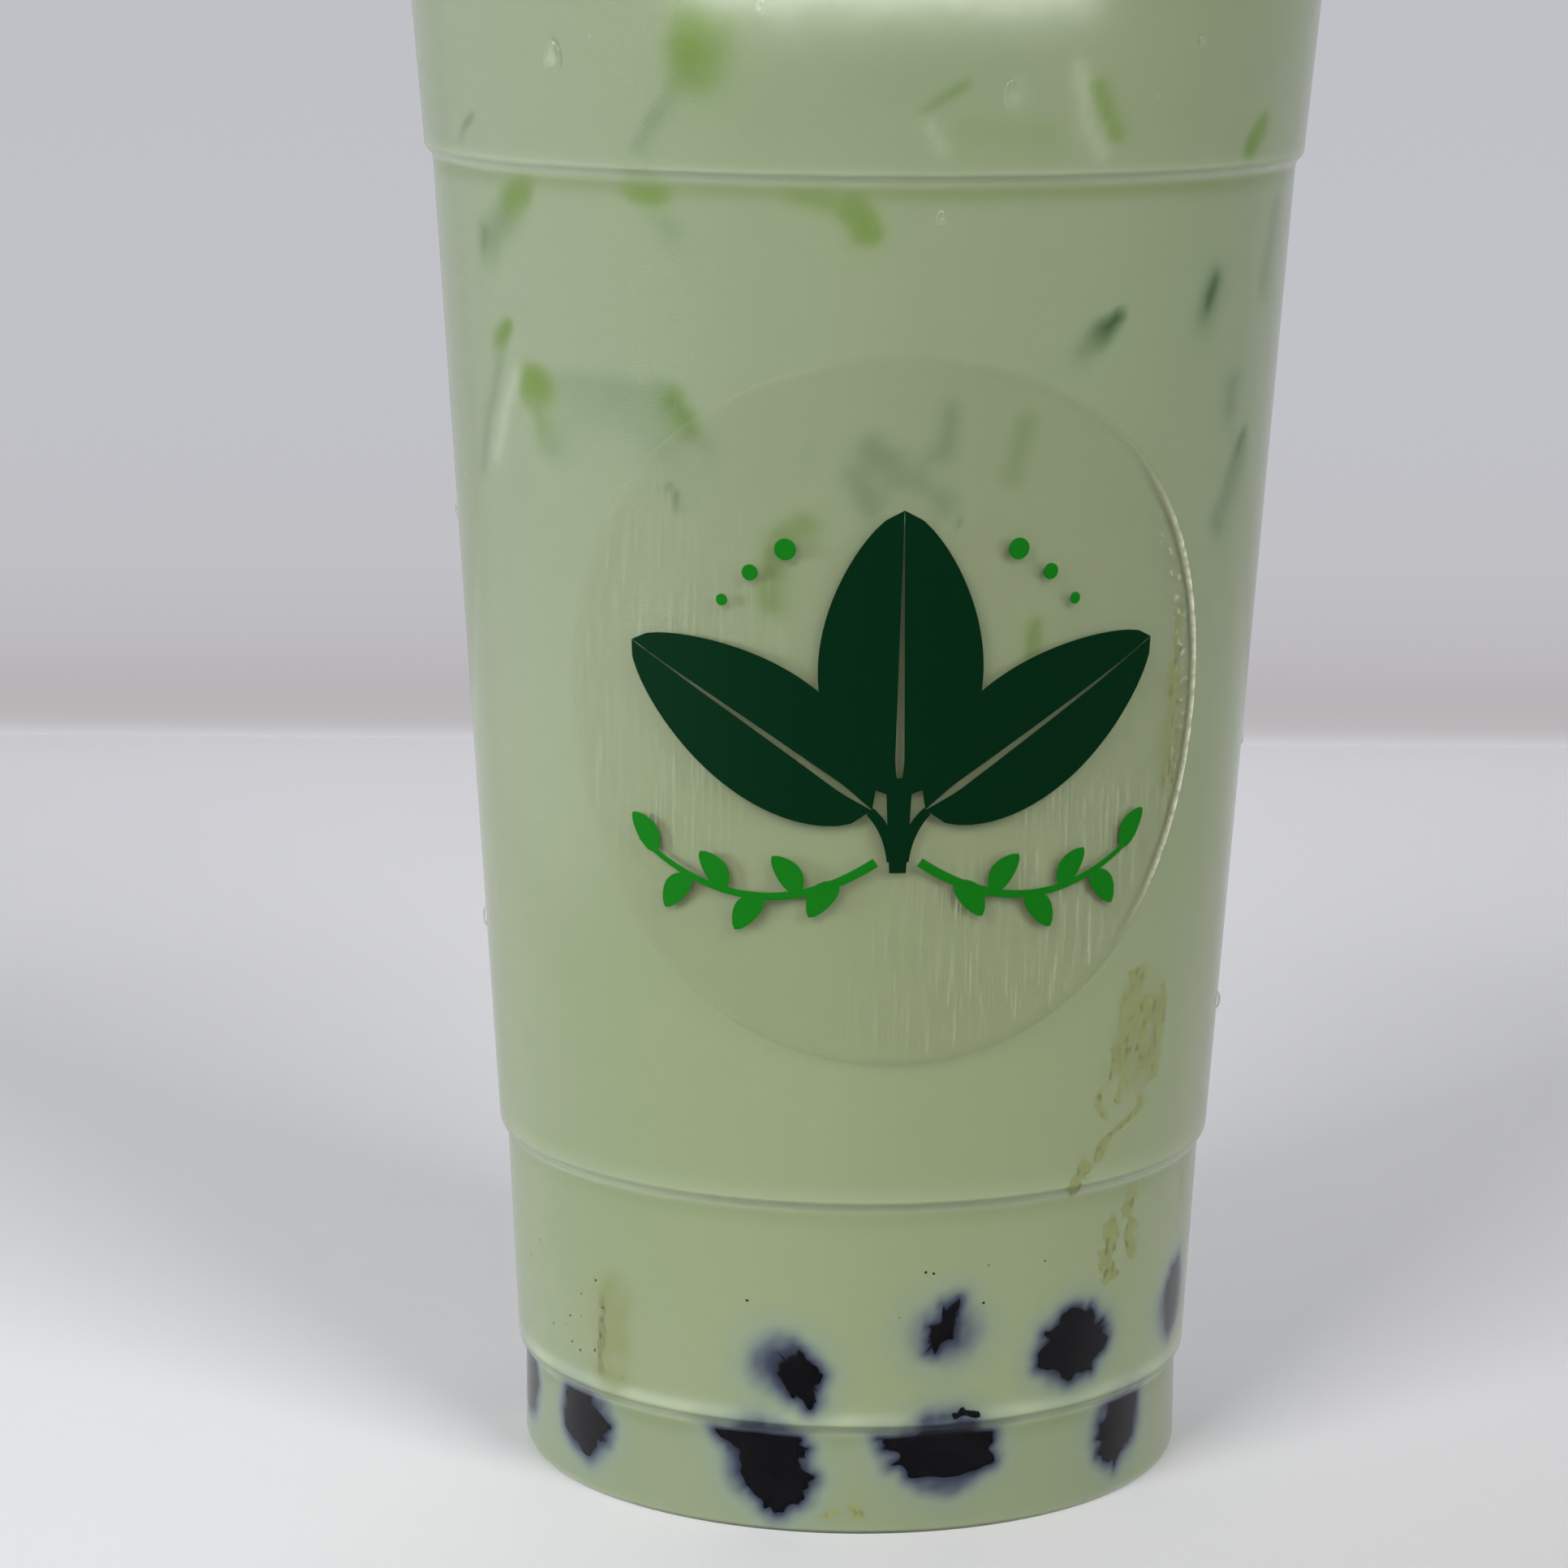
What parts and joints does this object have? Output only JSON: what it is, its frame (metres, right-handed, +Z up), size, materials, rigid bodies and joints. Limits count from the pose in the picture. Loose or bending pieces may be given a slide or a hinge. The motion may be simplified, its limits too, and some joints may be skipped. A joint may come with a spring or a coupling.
{
  "type": "honeydew milk tea",
  "caption": "Pale green iced milk tea with tapioca pearls in an open clear plastic cup with stacking ledges, a rolled rim and a round clear label.",
  "frame": {"origin": "centre of the cup's standing ring, on the surface it stands on", "axes": "+Z up along the cup's axis, -Y towards the front, where the round label is"},
  "size_m": [0.095, 0.095, 0.158],
  "materials": {
    "cup_plastic": "clear, glossy, thin",
    "milk_tea": "pale green milky liquid",
    "label_film": "clear film, slightly hazy",
    "label_ink": "dark green print",
    "tapioca": "wet, glossy, nearly black",
    "ice": "clear, melted edges",
    "syrup": "thin dried smear, olive brown",
    "water": "clear drops"
  },
  "bodies": {
    "root": {"cup": "cup_plastic", "milk_tea": "milk_tea", "label": "label_film"}
  },
  "joints": []
}
